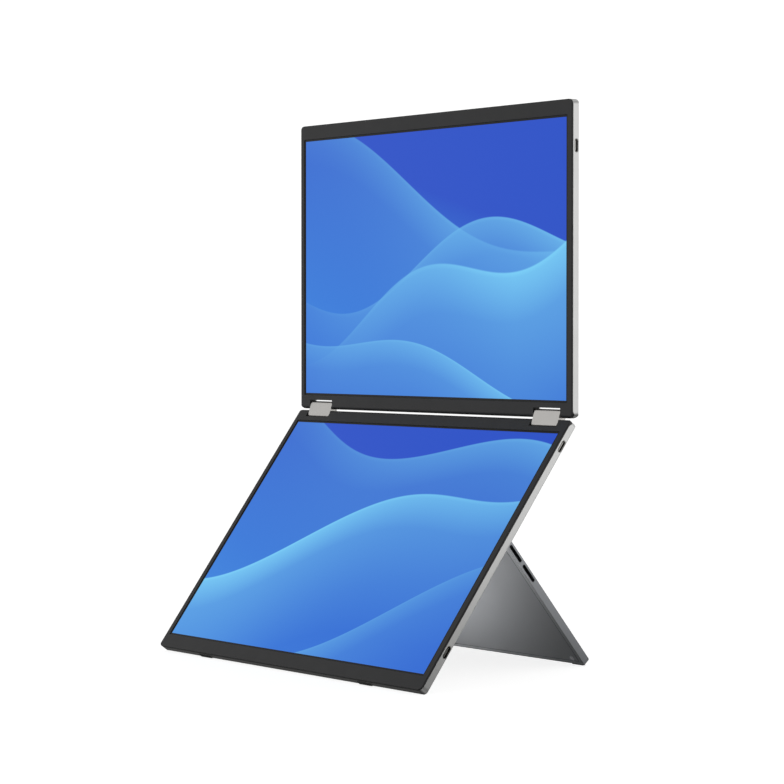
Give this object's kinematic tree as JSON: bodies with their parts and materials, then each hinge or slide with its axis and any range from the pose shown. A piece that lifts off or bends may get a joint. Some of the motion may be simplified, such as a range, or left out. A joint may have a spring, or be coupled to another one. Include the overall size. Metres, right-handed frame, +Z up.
{
  "type": "laptop screen extender",
  "caption": "Folding stacked-display extender for a laptop: slim panels joined by geared fold hinges, propped up by a thick friction kickstand behind the lower panel.",
  "frame": {"origin": "centre of the footprint, on the surface that the feet stand on", "axes": "+X to the viewer's right, +Y away from the viewer, +Z up"},
  "size_m": [0.3138, 0.1922, 0.3865],
  "materials": {
    "cover_metal": "anodised, bead blasted, light silver",
    "bezel_plastic": "moulded, fine texture, dark grey",
    "display_glass": "hard-coated display surface, lit blue picture with a black margin",
    "light_guide": "light guide and films in a tray",
    "circuit_board": "green solder mask with tinned parts",
    "flat_cable_film": "flexible printed cable",
    "connector_steel": "drawn and plated shell",
    "hinge_cover_metal": "die-cast zinc, satin plated, light grey",
    "hinge_steel": "turned and pressed steel",
    "gear_steel": "sintered steel, oiled",
    "screw_steel": "zinc-plated screw",
    "foot_rubber": "moulded rubber, matt black",
    "button_metal": "anodised, satin",
    "stand_metal": "anodised, bead blasted, mid grey",
    "stand_plate": "anodised sheet, mid grey",
    "speaker_plastic": "black moulded box"
  },
  "bodies": {
    "lower_screen": {"lower_back_cover": "cover_metal", "lower_bezel": "bezel_plastic", "lower_glass": "display_glass", "lower_backlight": "light_guide", "main_board": "circuit_board", "lower_driver_board": "circuit_board", "lower_flat_cable": "flat_cable_film", "lower_port_boards": "circuit_board", "lower_usb_ports": "connector_steel", "mini_hdmi_port": "connector_steel", "button_board": "circuit_board", "lower_hinge_brackets": "hinge_steel", "lower_hinge_shafts": "hinge_steel", "lower_bracket_screws": "screw_steel", "edge_feet": "foot_rubber", "stand_hinge_mounts": "hinge_steel", "stand_mount_screws": "screw_steel"},
    "hinge_links": {"left_hinge_cover": "hinge_cover_metal", "right_hinge_cover": "hinge_cover_metal", "hinge_bearing_plates": "hinge_steel", "friction_clips": "hinge_steel"},
    "lower_idlers": {"lower_idler_gears": "gear_steel"},
    "upper_idlers": {"upper_idler_gears": "gear_steel"},
    "upper_screen": {"upper_back_cover": "cover_metal", "upper_bezel": "bezel_plastic", "upper_glass": "display_glass", "upper_backlight": "light_guide", "upper_driver_board": "circuit_board", "upper_port_board": "circuit_board", "upper_usb_port": "connector_steel", "upper_hinge_brackets": "hinge_steel", "upper_hinge_shafts": "hinge_steel", "upper_bracket_screws": "screw_steel"},
    "power_key": {"power_button": "button_metal"},
    "brightness_up_key": {"brightness_up_button": "button_metal"},
    "brightness_down_key": {"brightness_down_button": "button_metal"},
    "stand": {"stand_shell": "stand_metal", "stand_inner_cover": "stand_plate", "stand_hinge_blocks": "hinge_steel", "stand_hinge_pins": "hinge_steel", "stand_block_screws": "screw_steel", "stand_feet": "foot_rubber", "stand_bumpers": "foot_rubber", "speakers": "speaker_plastic"}
  },
  "joints": [
    {"name": "lower_hinge", "type": "hinge", "parent": "lower_screen", "child": "hinge_links", "pos_m": [0, 0.03085, 0.17022], "axis": [1, 0, 0], "range_deg": [-70.5, 71.75]},
    {"name": "upper_hinge", "type": "hinge", "parent": "hinge_links", "child": "upper_screen", "pos_m": [0, 0.03308, 0.17696], "axis": [1, 0, 0], "range_deg": [-70.5, 71.75]},
    {"name": "lower_idler_spin", "type": "hinge", "parent": "hinge_links", "child": "lower_idlers", "pos_m": [0, 0.0316, 0.17246], "axis": [1, 0, 0], "range_deg": [-70.5, 71.75]},
    {"name": "upper_idler_spin", "type": "hinge", "parent": "hinge_links", "child": "upper_idlers", "pos_m": [0, 0.03234, 0.17471], "axis": [1, 0, 0], "range_deg": [-71.75, 70.5]},
    {"name": "stand_hinge", "type": "hinge", "parent": "lower_screen", "child": "stand", "pos_m": [0, -0.0005, 0.11691], "axis": [1, 0, 0], "range_deg": [-75.74, 14.26]},
    {"name": "power_press", "type": "slide", "parent": "lower_screen", "child": "power_key", "axis": [1, 0, 0], "range_m": [0, 0.0003], "stiffness_N_per_m": 600, "springref_m": -0.0003},
    {"name": "brightness_up_press", "type": "slide", "parent": "lower_screen", "child": "brightness_up_key", "axis": [1, 0, 0], "range_m": [0, 0.0003], "stiffness_N_per_m": 600, "springref_m": -0.0003},
    {"name": "brightness_down_press", "type": "slide", "parent": "lower_screen", "child": "brightness_down_key", "axis": [1, 0, 0], "range_m": [0, 0.0003], "stiffness_N_per_m": 600, "springref_m": -0.0003}
  ],
  "couplings": [
    {"joint": "upper_hinge", "follows": "lower_hinge", "ratio": 1},
    {"joint": "lower_idler_spin", "follows": "lower_hinge", "ratio": 1},
    {"joint": "upper_idler_spin", "follows": "lower_hinge", "ratio": -1}
  ]
}
